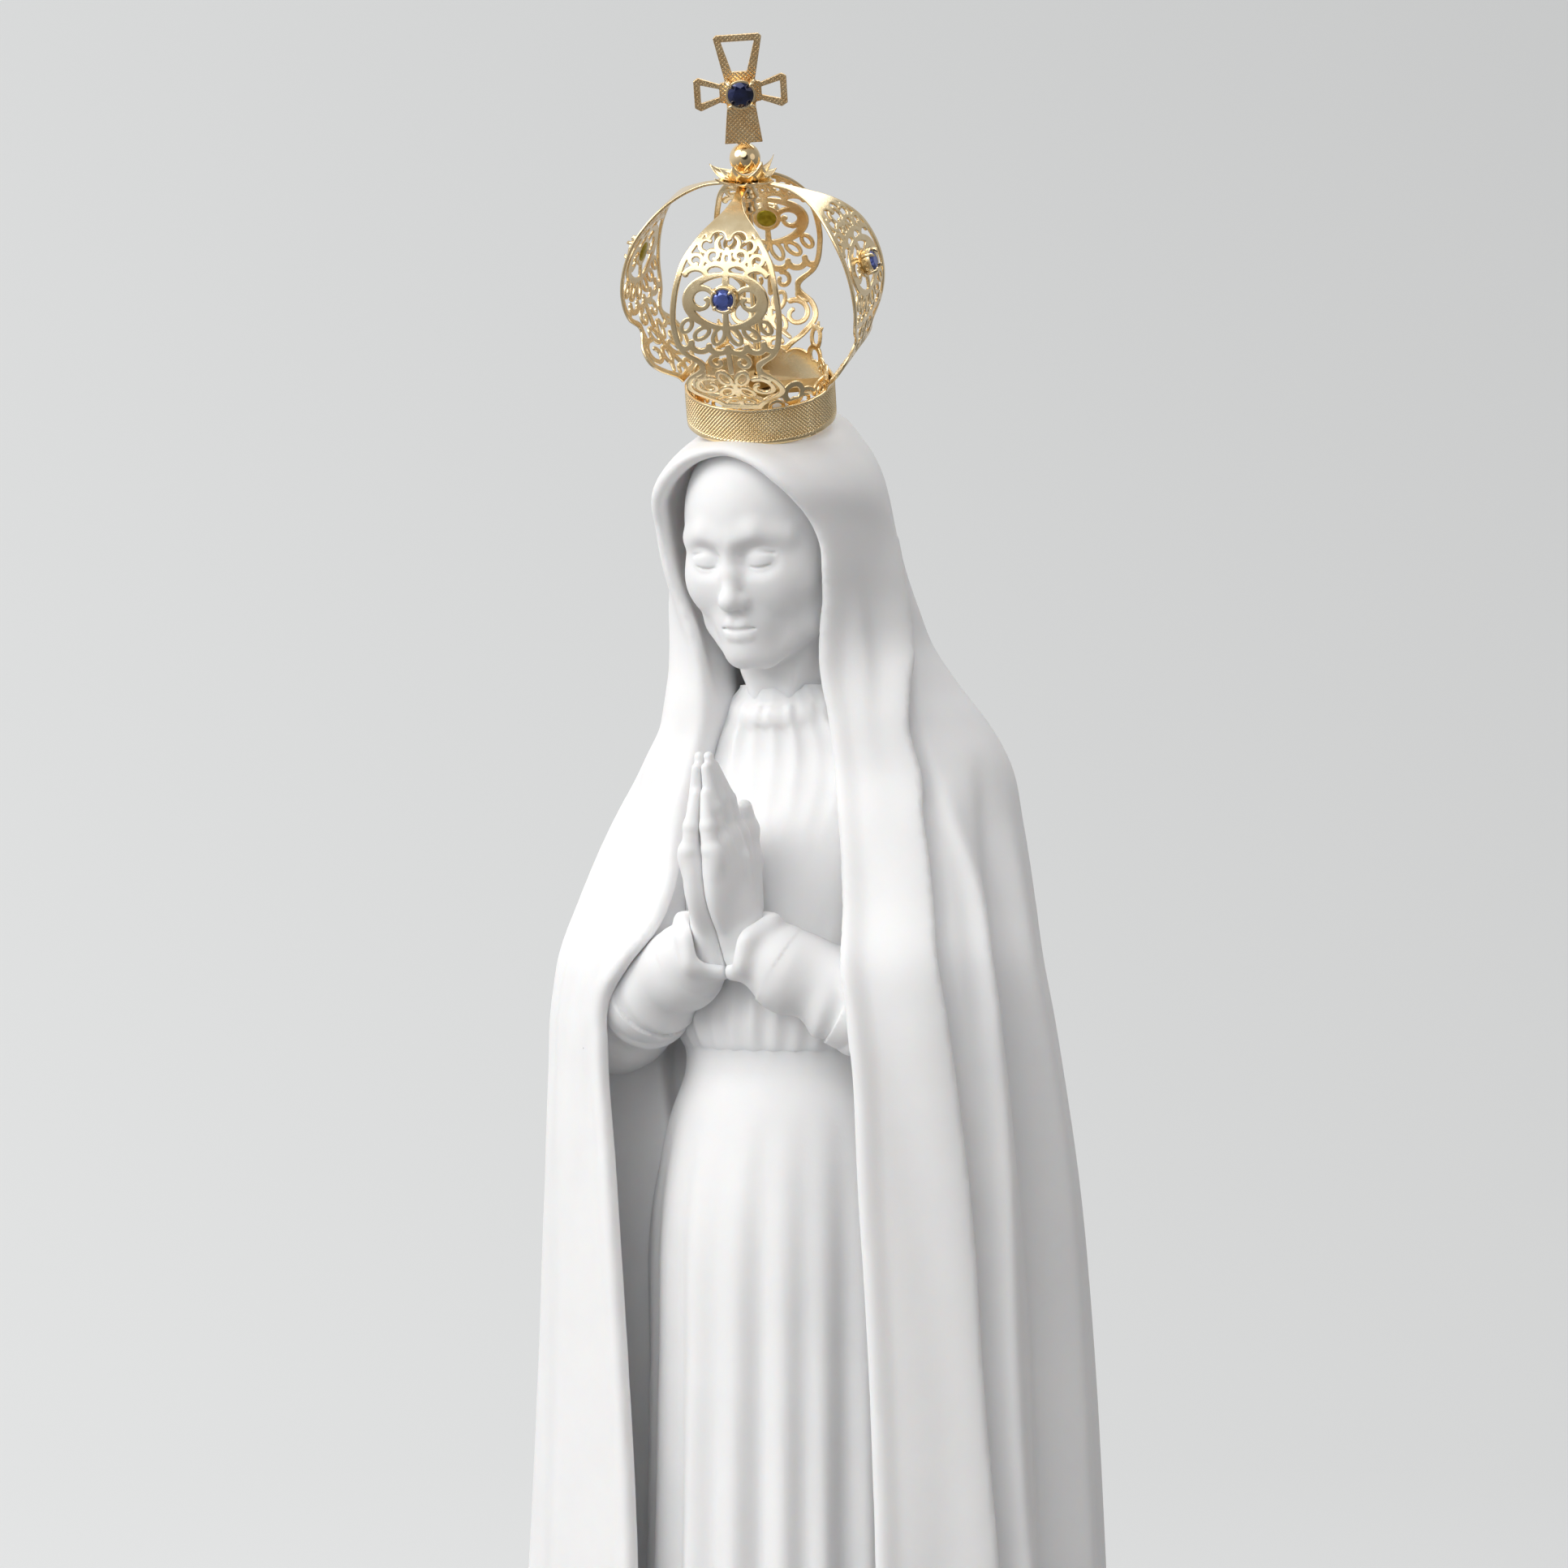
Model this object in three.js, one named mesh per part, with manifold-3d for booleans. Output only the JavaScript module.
// A standing madonna figure in white cast marble with a removable gilt filigree crown.
// Millimetres, +Z up. The figure faces -Y and its own left side is +X. The origin is the
// centre of the base's underside.

import * as THREE from 'three';
import Module from 'manifold-3d';
import { mergeVertices } from 'three/addons/utils/BufferGeometryUtils.js';
import { LoftGeometry } from 'three/addons/geometries/LoftGeometry.js';

const wasm = await Module();
wasm.setup();

// ---------------------------------------------------------------- driving dimensions

const GAP = 0.3; // clearance kept between neighbouring pieces
const DEGREE = Math.PI / 180;

const PAD_HEIGHT = 1;
const PLINTH = { halfWidth: 54, halfDepth: 46, bottom: PAD_HEIGHT + GAP, top: 9 };
const CLOUD_TOP = 25;
const HEM_HEIGHT = CLOUD_TOP + GAP;
const WAIST_HEIGHT = 213;
const MANTLE_WALL = 3.2;
const VEIL_HEIGHT = 264; // where the hood ends and the cloak begins
const BACK_DEPTH = 20; // how far behind the origin the cloak's back panel begins

const HEAD_CENTRE = new THREE.Vector3(0, -13, 303);
const HEAD_BOW = 17 * DEGREE;

const WRIST = new THREE.Vector3(0, -27, 235);
const HAND_LEAN = 16 * DEGREE;

const CROWN_SEAT = new THREE.Vector3(0.9, -16, 323); // centre of the band's lower edge
const CROWN_TURN = 27 * DEGREE; // the crown's front is turned to the figure's left
const CROWN_TILT = 27 * DEGREE; // forward tilt of the crown's axis
const CROWN_LEAN = -3.8 * DEGREE;

// The next heights are measured from the band's lower edge, along the crown's axis.
const BAND = { innerRadius: 12.4, outerRadius: 12.9, top: 6.6 };
const GALLERY = { innerRadius: 11.3, outerRadius: 11.8, bottom: 3.2, valley: 8.6, peak: 11.4 };
const CROSSBAR = { bottom: 5, top: 5.8, halfLength: 10.9, halfWidth: 2 };
const NUT = { bottom: 6.1, top: 8.1, radius: 2.1 };
const FERRULE = { bottom: 36.9, top: 42, lowerRadius: 1.2, upperRadius: 1.7 };
const ROSETTE = { bottom: 42.9, top: 43.5, innerRadius: 2, outerRadius: 6 };
const BALL = { centre: 46.5, radius: 2.6 };
const CROSS = { bottom: 49.4, centre: 58, top: 67.8, halfWidth: 7.7, thickness: 0.8 };
const ROD = { radius: 0.7, bottom: -10, top: 40.4 };
const SOCKET = { innerRadius: 1.1, outerRadius: 1.9, bottom: -11, top: 3 };
const GEM_HEIGHT = 29;
const ARCH_THICKNESS = 0.6;
const ARCH_AZIMUTHS = { front: -14, right: 72, back: 171, left: -110 }; // degrees

// ---------------------------------------------------------------- materials

const MARBLE = { color: 0xf1f1f2, roughness: 0.62, metalness: 0 };
const GILT = { color: 0xd8b777, roughness: 0.24, metalness: 1 };
const SAPPHIRE = { color: 0x16257a, roughness: 0.04, metalness: 0 };
const BRASS = { color: 0xb08d4f, roughness: 0.4, metalness: 1 };
const FELT = { color: 0x2f4a3a, roughness: 0.95, metalness: 0 };

// ---------------------------------------------------------------- solids

function solidOf(geometry) {
  const bare = new THREE.BufferGeometry().copy(geometry);
  bare.deleteAttribute('normal');
  bare.deleteAttribute('uv');
  const merged = mergeVertices(bare, 1e-4);
  const vertProperties = new Float32Array(merged.attributes.position.array);
  const triVerts = new Uint32Array(merged.index.array);
  return new wasm.Manifold(new wasm.Mesh({ numProp: 3, vertProperties, triVerts }));
}

function geometryOf(solid) {
  const mesh = solid.getMesh();
  const geometry = new THREE.BufferGeometry();
  geometry.setAttribute('position', new THREE.BufferAttribute(mesh.vertProperties, 3));
  geometry.setIndex(new THREE.BufferAttribute(mesh.triVerts, 1));
  geometry.computeVertexNormals();
  return geometry;
}

// A cut can leave loose slivers: the piece is the largest body that remains.
function largestBody(solid) {
  const bodies = solid.decompose();
  return bodies.reduce((best, body) => (body.volume() > best.volume() ? body : best));
}

function carve(geometry, cutters) {
  const whole = solidOf(geometry);
  const rest = cutters.reduce((solid, cutter) => solid.subtract(solidOf(cutter)), whole);
  return geometryOf(largestBody(rest));
}

function partInside(geometry, region) {
  return geometryOf(largestBody(solidOf(geometry).intersect(solidOf(region))));
}

function join(...geometries) {
  const solids = geometries.map(solidOf);
  return geometryOf(solids.reduce((whole, solid) => whole.add(solid)));
}

function moved(geometry, matrix) {
  return new THREE.BufferGeometry().copy(geometry).applyMatrix4(matrix);
}

function named(name, geometry, look) {
  const mesh = new THREE.Mesh(geometry, new THREE.MeshStandardMaterial(look));
  mesh.name = name;
  return mesh;
}

// ---------------------------------------------------------------- lofted shapes

// A level oval with its own depth in front of and behind its centre. `swell` is an extra
// radius that depends on the angle from the front, positive to the figure's left.
function oval(station, sides, grow = 0, swell = () => 0) {
  const [height, halfWidth, front, back, centreY, centreX = 0] = station;
  const points = [];
  for (let i = 0; i < sides; i++) {
    const angle = (i / sides) * 2 * Math.PI;
    const depth = Math.cos(angle) > 0 ? front : back;
    const extra = grow + swell(angle > Math.PI ? angle - 2 * Math.PI : angle, height);
    const x = centreX + (halfWidth + extra) * Math.sin(angle);
    const y = centreY - (depth + extra) * Math.cos(angle);
    points.push(new THREE.Vector3(x, y, height));
  }
  return points;
}

function capped(sections) {
  return new LoftGeometry(sections, { capStart: true, capEnd: true });
}

function ovalLoft(stations, sides, grow, swell) {
  return capped(stations.map((station) => oval(station, sides, grow, swell)));
}

// A tapering limb: round sections square to the path that runs through the given points.
function limb(points, radii, sides, grow = 0) {
  const path = new THREE.CatmullRomCurve3(points);
  const steps = 2 * (points.length - 1);
  const frames = path.computeFrenetFrames(steps, false);
  const sections = [];
  for (let i = 0; i <= steps; i++) {
    const whole = Math.min(Math.floor(i / 2), points.length - 2);
    const radius = THREE.MathUtils.lerp(radii[whole], radii[whole + 1], i / 2 - whole) + grow;
    const centre = path.getPoint(i / steps);
    const ring = [];
    for (let j = 0; j < sides; j++) {
      const angle = (j / sides) * 2 * Math.PI;
      const point = centre.clone();
      point.addScaledVector(frames.normals[i], radius * Math.cos(angle));
      point.addScaledVector(frames.binormals[i], radius * Math.sin(angle));
      ring.push(point);
    }
    sections.push(ring);
  }
  return capped(sections);
}

// A turned ring or disc on the local Z axis, between two heights.
function turned(innerRadius, outerRadius, bottom, top, sides) {
  const profile = [
    new THREE.Vector2(innerRadius, bottom),
    new THREE.Vector2(outerRadius, bottom),
    new THREE.Vector2(outerRadius, top),
    new THREE.Vector2(innerRadius, top),
  ];
  if (innerRadius > 0) profile.push(profile[0].clone());
  return new THREE.LatheGeometry(profile, sides).rotateX(Math.PI / 2);
}

// A turned solid from [radius, height] pairs that start and end on the axis.
function turnedSolid(profile, sides) {
  const points = profile.map(([radius, height]) => new THREE.Vector2(radius, height));
  return new THREE.LatheGeometry(points, sides).rotateX(Math.PI / 2);
}

function boxBetween(low, high) {
  const size = high.clone().sub(low);
  const middle = high.clone().add(low).multiplyScalar(0.5);
  return new THREE.BoxGeometry(...size.toArray()).translate(...middle.toArray());
}

function slab(outline, bottom, top) {
  const shape = new THREE.ExtrudeGeometry(outline, {
    depth: top - bottom,
    bevelEnabled: false,
    curveSegments: 12,
  });
  return shape.translate(0, 0, bottom);
}

function ellipseShape(halfWidth, halfDepth) {
  const shape = new THREE.Shape();
  shape.absellipse(0, 0, halfWidth, halfDepth, 0, 2 * Math.PI, false, 0);
  return shape;
}

// ---------------------------------------------------------------- base

function basePad() {
  const inset = 3;
  return slab(ellipseShape(PLINTH.halfWidth - inset, PLINTH.halfDepth - inset), 0, PAD_HEIGHT);
}

function plinth() {
  const { halfWidth, halfDepth, bottom, top } = PLINTH;
  const edge = 1.5;
  return ovalLoft([
    [bottom, halfWidth - edge, halfDepth - edge, halfDepth - edge, 0],
    [bottom + edge, halfWidth, halfDepth, halfDepth, 0],
    [top - edge, halfWidth, halfDepth, halfDepth, 0],
    [top, halfWidth - edge, halfDepth - edge, halfDepth - edge, 0],
  ], 40);
}

function cloud() {
  const billows = 9;
  const billowDepth = 2.2;
  const billow = (angle) => billowDepth * Math.cos(billows * angle);
  const low = PLINTH.top + GAP;
  return ovalLoft([
    [low, 46, 39, 39, 1],
    [low + 4, 50, 42, 42, 1],
    [low + 9, 49, 41, 41, 1],
    [CLOUD_TOP - 2.5, 45, 38, 38, 1],
    [CLOUD_TOP, 38, 33, 33, 1],
  ], 54, 0, billow);
}

// side is 1 for the figure's left foot and -1 for its right
function foot(side, grow = 0) {
  const spread = 9;
  const sides = 10;
  const stations = [ // y from the toes back, half-width, height
    [-40, 1.5, 2.5],
    [-38, 4, 5.9],
    [-33, 5, 6.1],
    [-26, 4.6, 6.3],
    [-18, 4, 6.5],
    [-12, 3.6, 6.5],
  ];
  const sections = stations.map(([y, halfWidth, height]) => {
    const ring = [];
    for (let i = 0; i < sides; i++) {
      const angle = (i / sides) * 2 * Math.PI;
      const x = side * spread - (halfWidth + grow) * Math.cos(angle);
      const z = HEM_HEIGHT - grow + (height / 2 + grow) * (1 + Math.sin(angle));
      ring.push(new THREE.Vector3(x, y, z));
    }
    return ring;
  });
  return capped(sections);
}

// ---------------------------------------------------------------- dress

const SKIRT_STATIONS = [
  [HEM_HEIGHT, 30, 29, 27, -2],
  [50, 29, 28.5, 26, -2],
  [85, 27.5, 27.5, 25, -2.5],
  [125, 25.5, 24.5, 24, -3],
  [160, 25, 23.5, 23, -3],
  [190, 24, 22, 21, -3],
  [203, 21.5, 19, 18.5, -3],
  [WAIST_HEIGHT - GAP, 18, 15.5, 15.5, -3.5],
];

// Ten hanging folds, from nothing under the hips to their full depth lower down.
function skirtFolds(angle, height) {
  const [start, full, depth] = [190, 80, 1.3];
  const share = THREE.MathUtils.clamp((start - height) / (start - full), 0, 1);
  return depth * share * Math.cos(10 * angle);
}

function skirt() {
  const whole = ovalLoft(SKIRT_STATIONS, 40, 0, skirtFolds);
  return carve(whole, [foot(1, GAP), foot(-1, GAP)]);
}

function bodice() {
  const whole = ovalLoft([
    [WAIST_HEIGHT, 18.3, 15.8, 15.5, -3.5],
    [224, 19.5, 16.5, 16, -3],
    [238, 21.5, 17.5, 17, -2],
    [250, 23, 16.5, 17, 0],
    [260, 23, 14.5, 16, 2],
    [267, 19, 13.5, 14, 2.5],
    [272.5, 12.5, 11.5, 11, 0],
  ], 32);
  return carve(whole, [neckWell(), sleeve(1, GAP), sleeve(-1, GAP)]);
}

function sleeve(side, grow = 0) {
  const path = [[3.6, -26.5, 233], [10, -24, 229], [20, -18.5, 223.5], [29, -11, 219]];
  const points = path.map(([x, y, z]) => new THREE.Vector3(side * x, y, z));
  return limb(points, [4.6, 6.4, 8, 8.2], 14, grow);
}

function cuffedSleeve(side) {
  const reach = 30;
  const middle = boxBetween(
    new THREE.Vector3(-GAP, WRIST.y - reach, WRIST.z - reach),
    new THREE.Vector3(GAP, WRIST.y + reach, WRIST.z + reach),
  );
  return carve(sleeve(side), [hand(side, GAP), middle]);
}

// ---------------------------------------------------------------- hands and head

// Palms meet at x = 0. Heights run from the wrist to the fingertips along the hand.
function hand(side, grow = 0) {
  const palm = [
    [-5, 3.2, 3.2, 3.2, 0],
    [0, 2.9, 3.8, 3.6, 0],
    [8, 2.8, 5.8, 5.8, 0],
    [16, 2.6, 6, 5.4, -0.4],
    [23, 2.1, 5, 4, -0.8],
    [29, 1.5, 3.4, 3, -1.2],
    [31.5, 0.6, 1.4, 1.4, -1.4],
  ];
  const thumb = [
    [6, 1.4, 2.2, 2.2, 4.6],
    [13, 1.7, 2, 2.2, 6.2],
    [18, 1.4, 1.6, 1.6, 6.4],
    [20, 0.6, 0.8, 0.8, 6.2],
  ];
  const lay = (stations, sides) => {
    const sections = stations.map((station) => oval(station, sides, grow));
    sections.forEach((ring, i) => {
      const shift = side * (stations[i][1] + GAP / 2);
      ring.forEach((point) => point.setX(point.x + shift));
    });
    return capped(sections);
  };
  const whole = join(lay(palm, 14), lay(thumb, 10));
  const place = new THREE.Matrix4().makeRotationX(HAND_LEAN).setPosition(WRIST);
  return moved(whole, place);
}

function neck() {
  const points = [[0, 0, 262], [0, -2, 272], [0, -5, 283], [0, -9, 292]];
  return limb(points.map((p) => new THREE.Vector3(...p)), [9, 8, 7.8, 8], 16);
}

// The hollow in the bodice that the neck stands in.
function neckWell() {
  const points = [new THREE.Vector3(0, 0.8, 257), new THREE.Vector3(0, -4.4, 283)];
  return limb(points, [9.8, 9.2], 24);
}

function skull(grow = 0) {
  const stations = [
    [-20.3, 3.6, 3, 3, -9.5],
    [-17, 8, 7.5, 7.5, -7],
    [-12, 11, 11, 11, -4.2],
    [-6, 12.8, 14, 14, -1.6],
    [0, 13.6, 16, 16.5, 0],
    [6, 13.8, 15.8, 17.5, 0],
    [12, 12.4, 13.6, 16, 0.4],
    [16.5, 8.6, 9.4, 11, 0.8],
    [19, 3.4, 3.8, 4.6, 1],
  ];
  const whole = ovalLoft(stations, 24, grow);
  const place = new THREE.Matrix4().makeRotationX(HEAD_BOW).setPosition(HEAD_CENTRE);
  return moved(whole, place);
}

function head() {
  return carve(join(skull(), neck()), [inCrownFrame(socketCavity())]);
}

// ---------------------------------------------------------------- mantle and veil

const MANTLE_STATIONS = [
  [HEM_HEIGHT + 1, 54, 41, 41, 5],
  [60, 53, 40.5, 40.5, 5.5],
  [95, 51.8, 40, 40, 5.5],
  [123, 50.5, 39.5, 39.5, 5.5],
  [162, 49, 38, 38, 4.5],
  [191, 47.5, 36.5, 36.5, 2.5],
  [208, 46, 35, 35, 1],
  [221, 44.5, 34, 34, 0],
  [230, 43, 32.5, 32.5, 0],
  [240, 41, 29, 29, 2.5],
  [253, 37.7, 26, 25, 5.5, 0.5],
  [264, 34, 23, 22, 7, 1.5],
  [271, 29.5, 23, 20, 7, 2],
  [278, 25, 22, 20.5, 5, 0.5],
  [284, 21.5, 21.5, 21, 4],
  [291, 21, 22, 21, -0.5],
  [297, 20.6, 22, 21.5, -5],
  [304, 20.3, 22, 21, -8.2],
  [310, 20, 22.5, 20.5, -10.3],
  [314, 18.5, 22.3, 18.5, -9.3],
  [317, 16.6, 20.6, 16.5, -8],
  [320.5, 13.6, 16, 14, -6.7],
  [324, 9.6, 10.6, 10.6, -4.5],
  [326.3, 5.2, 5.6, 5.6, -3.5],
];

// The front edges' angles from straight ahead, at heights from the hem to the forehead.
const OPENING = [
  [HEM_HEIGHT - 5, -22, 36],
  [80, -20, 36],
  [123, -19, 35],
  [195, -28.6, 34],
  [221, -33, 34],
  [248, -30, 29.6],
  [272, -27, 25],
  [283, -38, 37.4],
  [291, -46, 46],
  [300, -51, 51],
  [310, -52, 48],
  [315, -34, 30],
  [318, -12, 10],
];

// Hanging folds: the angle of each ridge from the front, how far it stands out, and its width.
const MANTLE_RIDGES = [
  [52, 2.6, 9],
  [70, 2.2, 8],
  [98, 2.4, 10],
  [128, 2.6, 11],
  [160, 2.4, 11],
  [-52, 2, 10],
  [-80, 2.4, 10],
  [-112, 2.6, 11],
  [-146, 2.6, 11],
];

// The folds start below the shoulders; between them the cloth lies a little deeper.
function mantleFolds(angle, height) {
  const [start, full, dip] = [270, 190, 1];
  const share = THREE.MathUtils.clamp((start - height) / (start - full), 0, 1);
  const degrees = angle / DEGREE;
  const rise = MANTLE_RIDGES.reduce((sum, [at, amount, width]) => (
    sum + amount * Math.exp(-(((degrees - at) / width) ** 2))), 0);
  return share * (rise - dip);
}

// The wall is thicker below the shoulders, to hold the folds, and thinner in the hood.
function mantleInside() {
  const hoodTop = 322;
  const belowHem = 8;
  const foldRoom = 0.6;
  const wall = (angle, height) => (height < 270 ? -foldRoom : foldRoom);
  const hollow = MANTLE_STATIONS.filter(([height]) => height < hoodTop);
  const [[hem, ...hemSizes], ...rest] = hollow;
  return ovalLoft([[hem - belowHem, ...hemSizes], ...rest], 24, -MANTLE_WALL, wall);
}

// A wedge that reaches forward from a line at centreY.
function frontOpening() {
  const reach = 90;
  const centreY = 6;
  const sections = OPENING.map(([height, right, left]) => {
    const far = (degrees) => {
      const angle = degrees * DEGREE;
      return new THREE.Vector3(reach * Math.sin(angle), centreY - reach * Math.cos(angle), height);
    };
    return [new THREE.Vector3(0, centreY, height), far(right), far((right + left) / 2), far(left)];
  });
  return capped(sections);
}

function mantle() {
  const outside = ovalLoft(MANTLE_STATIONS, 48, 0, mantleFolds);
  return carve(outside, [
    mantleInside(),
    frontOpening(),
    sleeve(1, GAP),
    sleeve(-1, GAP),
    foot(1, GAP),
    foot(-1, GAP),
    skull(GAP),
    inCrownFrame(socketCavity()),
    inCrownFrame(bandClearance()),
  ]);
}

// The drape is one sheet. It is divided into the veil and three panels of the cloak, each of
// which curves round only a part of the hollow in front of the figure's back.
function mantlePanels() {
  const whole = mantle();
  const far = 100;
  const floor = HEM_HEIGHT - far;
  const cloakTop = VEIL_HEIGHT - GAP / 2;
  const regions = {
    veil: [[-far, -far, VEIL_HEIGHT + GAP / 2], [far, far, VEIL_HEIGHT + far]],
    mantle_back: [[-far, BACK_DEPTH + GAP / 2, floor], [far, far, cloakTop]],
    mantle_left: [[0, -far, floor], [far, BACK_DEPTH - GAP / 2, cloakTop]],
    mantle_right: [[-far, -far, floor], [0, BACK_DEPTH - GAP / 2, cloakTop]],
  };
  return Object.entries(regions).map(([name, corners]) => {
    const [low, high] = corners.map((corner) => new THREE.Vector3(...corner));
    return named(name, partInside(whole, boxBetween(low, high)), MARBLE);
  });
}

// ---------------------------------------------------------------- crown frame and socket

const crownGroup = new THREE.Group();
crownGroup.position.copy(CROWN_SEAT);
crownGroup.rotation.set(CROWN_TILT, CROWN_LEAN, CROWN_TURN, 'ZYX');
crownGroup.updateMatrix();

function inCrownFrame(geometry) {
  return moved(geometry, crownGroup.matrix);
}

function socketCavity() {
  const radius = SOCKET.outerRadius + GAP;
  const bottom = SOCKET.bottom - GAP;
  const above = 12;
  return turnedSolid([[0, bottom], [radius, bottom], [radius, above], [0, above]], 20);
}

// The room that the band sweeps when the crown turns or lifts.
function bandClearance() {
  const around = 4;
  const above = 20;
  return turned(BAND.innerRadius - GAP, BAND.outerRadius + around, -GAP, above, 48);
}

function crownSocket() {
  const floor = 0.6;
  const { innerRadius, outerRadius, bottom, top } = SOCKET;
  return turnedSolid([
    [0, bottom], [outerRadius, bottom], [outerRadius, top], [innerRadius, top],
    [innerRadius, bottom + floor], [0, bottom + floor],
  ], 20);
}

function crownRod() {
  const tip = 1;
  const { radius, bottom, top } = ROD;
  return turnedSolid([
    [0, bottom], [radius * 0.4, bottom], [radius, bottom + tip], [radius, top], [0, top],
  ], 12);
}

// ---------------------------------------------------------------- crown, local frame

function crownBand() {
  const { innerRadius, outerRadius, top } = BAND;
  const lip = 0.7;
  const bead = 0.12;
  const profile = [
    [innerRadius, 0], [outerRadius, 0], [outerRadius, lip], [outerRadius - bead, lip + bead],
    [outerRadius - bead, top - lip - bead], [outerRadius, top - lip], [outerRadius, top],
    [innerRadius, top], [innerRadius, 0],
  ];
  const points = profile.map(([radius, height]) => new THREE.Vector2(radius, height));
  return new THREE.LatheGeometry(points, 40).rotateX(Math.PI / 2);
}

// The pierced gallery stands inside the band; its top edge rises to a point between arches.
function crownGallery() {
  const { innerRadius, outerRadius, bottom, valley, peak } = GALLERY;
  const sides = 32;
  const edge = (radius, height) => {
    const ring = [];
    for (let i = 0; i < sides; i++) {
      const angle = (i / sides) * 2 * Math.PI;
      const z = height ?? valley + (peak - valley) * Math.abs(Math.sin(4 * angle));
      ring.push(new THREE.Vector3(radius * Math.sin(angle), -radius * Math.cos(angle), z));
    }
    return ring;
  };
  const rings = [
    edge(innerRadius, bottom),
    edge(outerRadius, bottom),
    edge(outerRadius),
    edge(innerRadius),
  ];
  return new LoftGeometry([...rings, rings[0]], {});
}

// The centre line of an arch, as radius and height, from the band to the finial.
const archLine = new THREE.SplineCurve([
  [12.7, BAND.top + GAP], [13.4, 8.4], [15.4, 10.6], [17.8, 14], [19.6, 19], [20.3, 24],
  [19.6, GEM_HEIGHT], [17.3, 34.3], [13.2, 38.8], [8, 41.4], [2.4, 42.4],
].map(([radius, height]) => new THREE.Vector2(radius, height)));

// Half-widths of the stamped strip along that line: foot, small lobe, waist, large lobe, strap.
const archWidth = new THREE.SplineCurve([
  [0, 3], [0.07, 6.4], [0.13, 8.4], [0.2, 7], [0.245, 5.4], [0.31, 8], [0.41, 9.6],
  [0.52, 8.8], [0.63, 5.8], [0.74, 2], [0.86, 1.1], [1, 1],
].map(([along, halfWidth]) => new THREE.Vector2(along, halfWidth)));

function archWidthAt(along) {
  const points = archWidth.points;
  const next = Math.max(1, points.findIndex((point) => point.x >= along));
  const [a, b] = [points[next - 1], points[next]];
  return THREE.MathUtils.lerp(a.y, b.y, (along - a.x) / (b.x - a.x));
}

// A point of the arch plate: `across` in mm from its centre line, `out` along its outer normal.
function archPoint(along, across, out) {
  const centre = archLine.getPointAt(along);
  const tangent = archLine.getTangentAt(along);
  const radius = centre.x + tangent.y * out;
  const height = centre.y - tangent.x * out;
  return new THREE.Vector3(across, -radius, height);
}

function archPlate() {
  const steps = 20;
  const half = ARCH_THICKNESS / 2;
  const sections = [];
  for (let i = 0; i <= steps; i++) {
    const along = i / steps;
    const width = archWidthAt(along);
    sections.push([
      archPoint(along, -width, -half), archPoint(along, width, -half),
      archPoint(along, width, half), archPoint(along, -width, half),
    ].reverse());
  }
  return capped(sections);
}

// A punch through the plate, centred on the strip at `along` and `across`.
function archPunch(along, across, halfWidth, halfHeight) {
  const depth = 6;
  const options = { depth, bevelEnabled: false, curveSegments: 4 };
  const punch = new THREE.ExtrudeGeometry(ellipseShape(halfWidth, halfHeight), options);
  punch.translate(0, 0, -depth / 2);
  return moved(punch, archFrame(along, across, 0));
}

// Local +Z of this frame is the arch's outer normal.
function archFrame(along, across, out) {
  const tangent = archLine.getTangentAt(along);
  const up = new THREE.Vector3(0, -tangent.x, tangent.y);
  const side = new THREE.Vector3(1, 0, 0);
  const normal = new THREE.Vector3().crossVectors(side, up);
  return new THREE.Matrix4().makeBasis(side, up, normal).setPosition(archPoint(along, across, out));
}

function gemAlong() {
  const step = 0.002;
  let along = 0;
  while (archLine.getPointAt(along).y < GEM_HEIGHT) along += step;
  return along;
}

function crownArch() {
  const punches = [
    archPunch(0.62, 0, 3, 2.2),
    archPunch(0.53, 3.9, 2.4, 2.1),
    archPunch(0.53, -3.9, 2.4, 2.1),
    archPunch(0.42, 5.6, 2.2, 2.8),
    archPunch(0.42, -5.6, 2.2, 2.8),
    archPunch(0.13, 4.4, 2.2, 2.1),
    archPunch(0.13, -4.4, 2.2, 2.1),
  ];
  return carve(archPlate(), punches);
}

// A cup with a shallow floor, standing on local z = 0.
function settingCup({ inner, outer, height }) {
  const floor = 0.4;
  return turnedSolid([
    [0, 0], [outer * 0.8, 0], [outer, height], [inner, height], [inner * 0.8, floor], [0, floor],
  ], 10);
}

// A round brilliant: pointed back, girdle, and a flat table.
function brilliant(radius) {
  return turnedSolid([
    [0, -0.55 * radius], [radius, 0], [radius, 0.08 * radius],
    [0.62 * radius, 0.42 * radius], [0, 0.42 * radius],
  ], 10);
}

// Radii of the cup and its stone; lift is the stone's height over the cup's underside.
const ARCH_SETTING = { inner: 2, outer: 2.35, height: 1.6, gem: 1.8, lift: 1.65 };
const CROSS_SETTING = { inner: 2.5, outer: 2.85, height: 1.9, gem: 2.25, lift: 2 };

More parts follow.
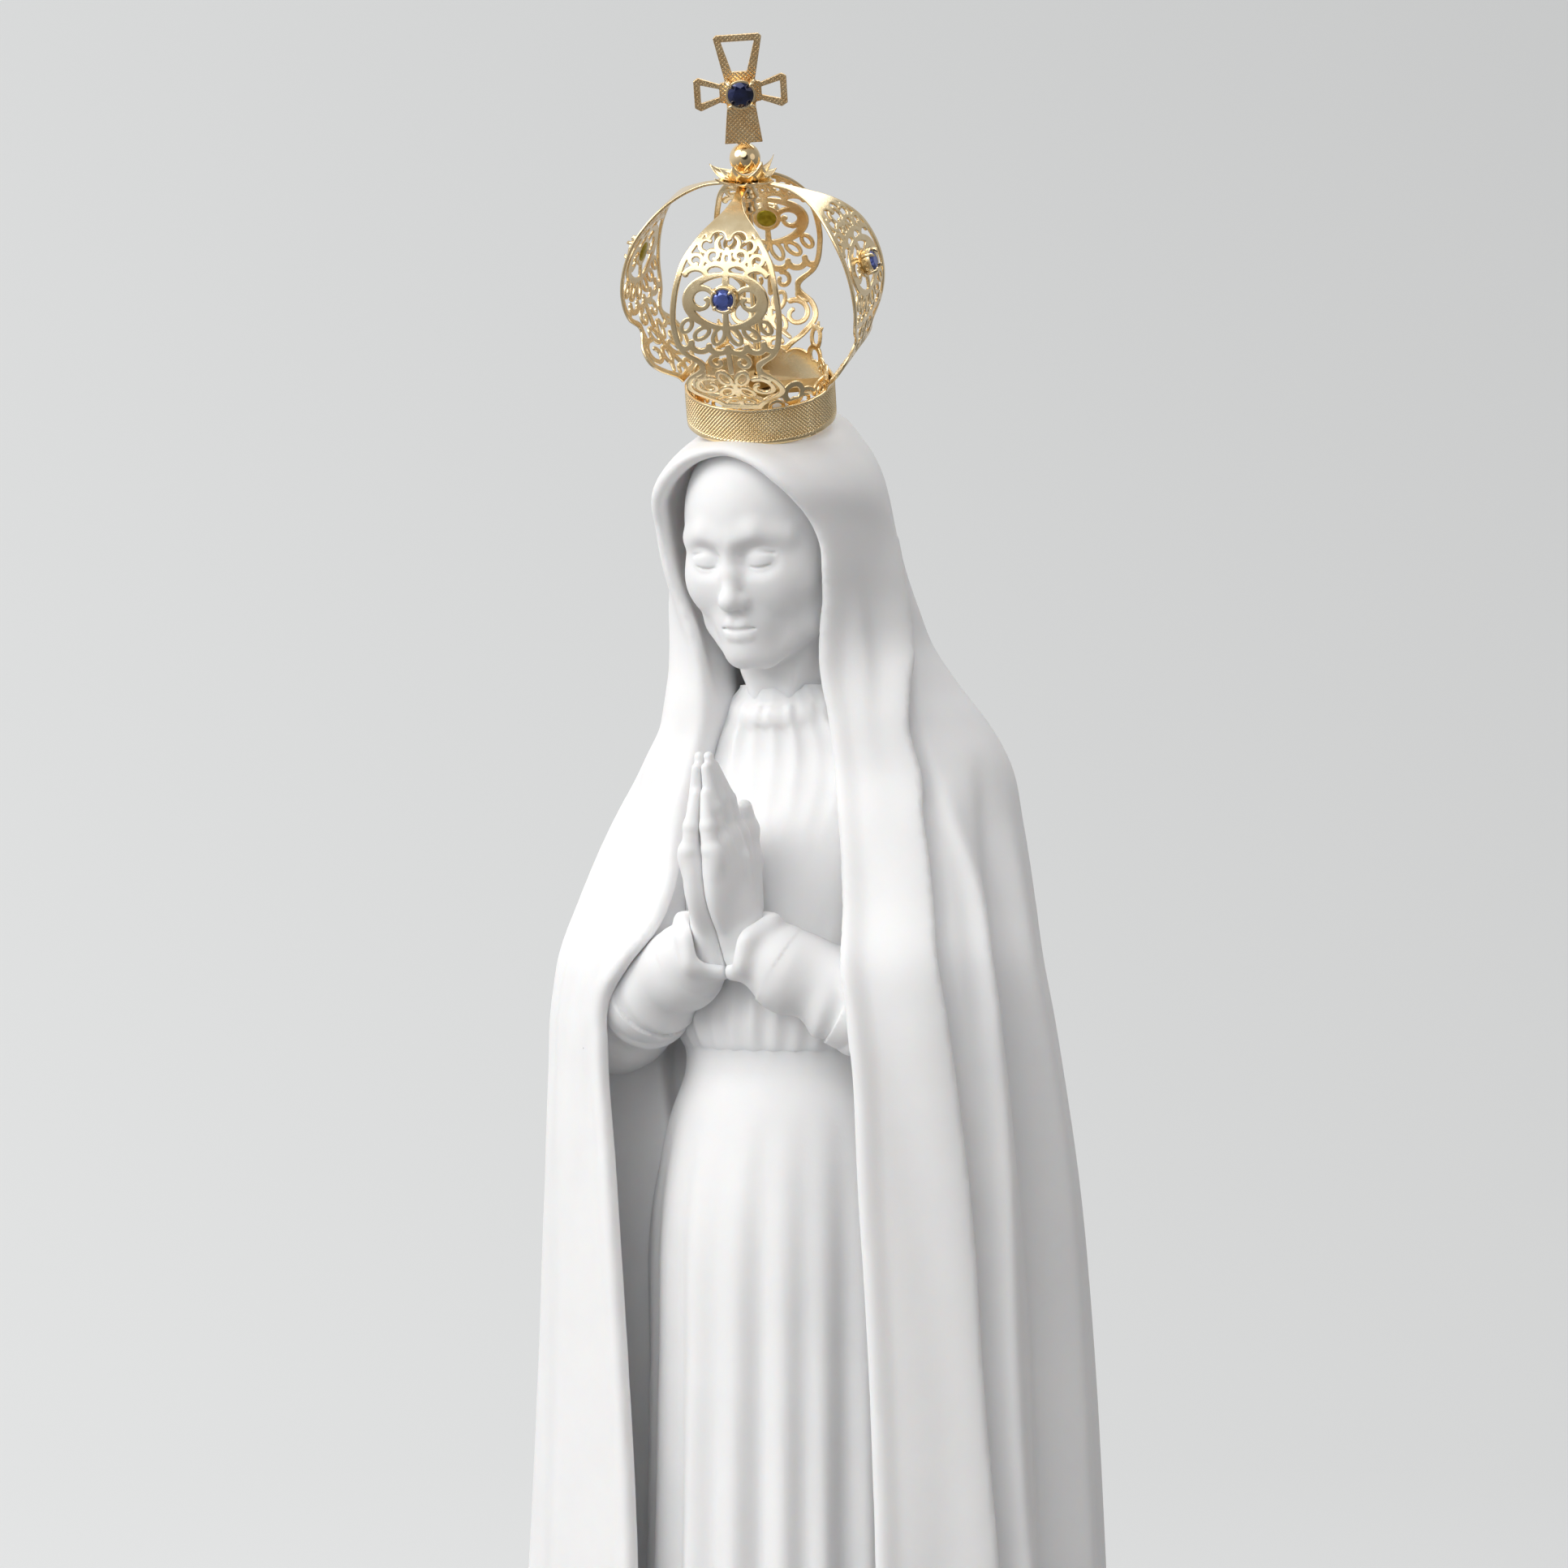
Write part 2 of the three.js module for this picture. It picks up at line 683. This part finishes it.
function crossOutline() {
  const { bottom, centre, top, halfWidth } = CROSS;
  const waist = 2.6; // half-width where the arms meet
  const shape = new THREE.Shape();
  const corners = [
    [-3, bottom], [3, bottom], [2.4, centre - waist], [halfWidth - 1, centre - 2.7],
    [halfWidth, centre], [halfWidth - 0.6, centre + 2.5], [waist, centre + waist],
    [3.9, top], [-3.9, top], [-waist, centre + waist], [0.6 - halfWidth, centre + 2.5],
    [-halfWidth, centre], [1 - halfWidth, centre - 2.7], [-2.4, centre - waist],
  ];
  shape.setFromPoints(corners.map(([x, y]) => new THREE.Vector2(x, y)));
  const holes = [
    [[-1.5, centre + 4.4], [1.5, centre + 4.4], [2.3, top - 1.3], [-2.3, top - 1.3]],
    [[4, centre - 0.9], [6.3, centre - 1.3], [6.3, centre + 1.3], [4, centre + 0.9]],
    [[-4, centre - 0.9], [-6.3, centre - 1.3], [-6.3, centre + 1.3], [-4, centre + 0.9]],
  ];
  holes.forEach((hole) => {
    shape.holes.push(new THREE.Path(hole.map(([x, y]) => new THREE.Vector2(x, y))));
  });
  return shape;
}

// The cross stands upright on the ball and faces local -Y.
function crownCross() {
  const options = { depth: CROSS.thickness, bevelEnabled: false };
  const plate = new THREE.ExtrudeGeometry(crossOutline(), options);
  return plate.translate(0, 0, -CROSS.thickness / 2).rotateX(Math.PI / 2);
}

function onCrossFace(lift) {
  return new THREE.Matrix4().makeRotationX(Math.PI / 2)
    .setPosition(0, -CROSS.thickness / 2 - lift, CROSS.centre);
}

function finialBall() {
  const ball = new THREE.SphereGeometry(BALL.radius, 16, 10);
  return ball.rotateX(Math.PI / 2).translate(0, 0, BALL.centre);
}

function leafRosette() {
  const leaves = 8;
  const shape = new THREE.Shape();
  for (let i = 0; i < 2 * leaves; i++) {
    const radius = i % 2 === 0 ? ROSETTE.outerRadius : ROSETTE.innerRadius + 1;
    const angle = (i / (2 * leaves)) * 2 * Math.PI;
    const method = i === 0 ? 'moveTo' : 'lineTo';
    shape[method](radius * Math.cos(angle), radius * Math.sin(angle));
  }
  shape.closePath();
  return slab(shape, ROSETTE.bottom, ROSETTE.top);
}

function coneFerrule() {
  const boreTop = ROD.top + GAP;
  const bore = ROD.radius + GAP;
  const { bottom, top, lowerRadius, upperRadius } = FERRULE;
  return turnedSolid([
    [0, boreTop], [bore, boreTop], [bore, bottom], [lowerRadius, bottom],
    [upperRadius, top], [0, top],
  ], 16);
}

function crossbar() {
  const { bottom, top, halfLength, halfWidth } = CROSSBAR;
  const eye = 3.4; // radius of the round eye in the bar's middle
  const corner = Math.asin(halfWidth / eye);
  const shape = new THREE.Shape();
  shape.absarc(0, 0, eye, corner, Math.PI - corner, false);
  shape.lineTo(-halfLength, halfWidth);
  shape.lineTo(-halfLength, -halfWidth);
  shape.absarc(0, 0, eye, Math.PI + corner, 2 * Math.PI - corner, false);
  shape.lineTo(halfLength, -halfWidth);
  shape.lineTo(halfLength, halfWidth);
  shape.closePath();
  const bore = new THREE.Path();
  bore.absarc(0, 0, ROD.radius + GAP, 0, 2 * Math.PI, true);
  shape.holes.push(bore);
  return slab(shape, bottom, top);
}

function lockNut() {
  return turned(ROD.radius + GAP, NUT.radius, NUT.bottom, NUT.top, 6);
}

// ---------------------------------------------------------------- assembly

const statue = new THREE.Group();
statue.add(
  named('base_pad', basePad(), FELT),
  named('plinth', plinth(), MARBLE),
  named('cloud', cloud(), MARBLE),
  named('foot_left', foot(1), MARBLE),
  named('foot_right', foot(-1), MARBLE),
  named('skirt', skirt(), MARBLE),
  named('bodice', bodice(), MARBLE),
  named('head', head(), MARBLE),
  ...mantlePanels(),
  named('sleeve_left', cuffedSleeve(1), MARBLE),
  named('sleeve_right', cuffedSleeve(-1), MARBLE),
  named('hand_left', hand(1), MARBLE),
  named('hand_right', hand(-1), MARBLE),
);

crownGroup.add(
  named('crown_socket', crownSocket(), BRASS),
  named('crown_rod', crownRod(), GILT),
  named('crown_band', crownBand(), GILT),
  named('crown_gallery', crownGallery(), GILT),
  named('crossbar', crossbar(), BRASS),
  named('lock_nut', lockNut(), BRASS),
  named('cone_ferrule', coneFerrule(), GILT),
  named('leaf_rosette', leafRosette(), GILT),
  named('finial_ball', finialBall(), GILT),
  named('crown_cross', crownCross(), GILT),
);

const seatLift = ARCH_THICKNESS / 2 + GAP; // the cups' height over an arch's centre line
for (const [place, azimuth] of Object.entries(ARCH_AZIMUTHS)) {
  const arm = new THREE.Group();
  arm.rotation.z = azimuth * DEGREE;
  const cup = moved(settingCup(ARCH_SETTING), archFrame(gemAlong(), 0, seatLift));
  const stonePlace = archFrame(gemAlong(), 0, seatLift + ARCH_SETTING.lift);
  const stone = moved(brilliant(ARCH_SETTING.gem), stonePlace);
  arm.add(
    named(`arch_${place}`, crownArch(), GILT),
    named(`arch_setting_${place}`, cup, GILT),
    named(`arch_gem_${place}`, stone, SAPPHIRE),
  );
  crownGroup.add(arm);
}

const crossCup = moved(settingCup(CROSS_SETTING), onCrossFace(GAP));
const crossStone = moved(brilliant(CROSS_SETTING.gem), onCrossFace(GAP + CROSS_SETTING.lift));
crownGroup.add(
  named('cross_setting', crossCup, GILT),
  named('cross_gem', crossStone, SAPPHIRE),
);

const madonna = new THREE.Group();
madonna.add(statue, crownGroup);

export default madonna;
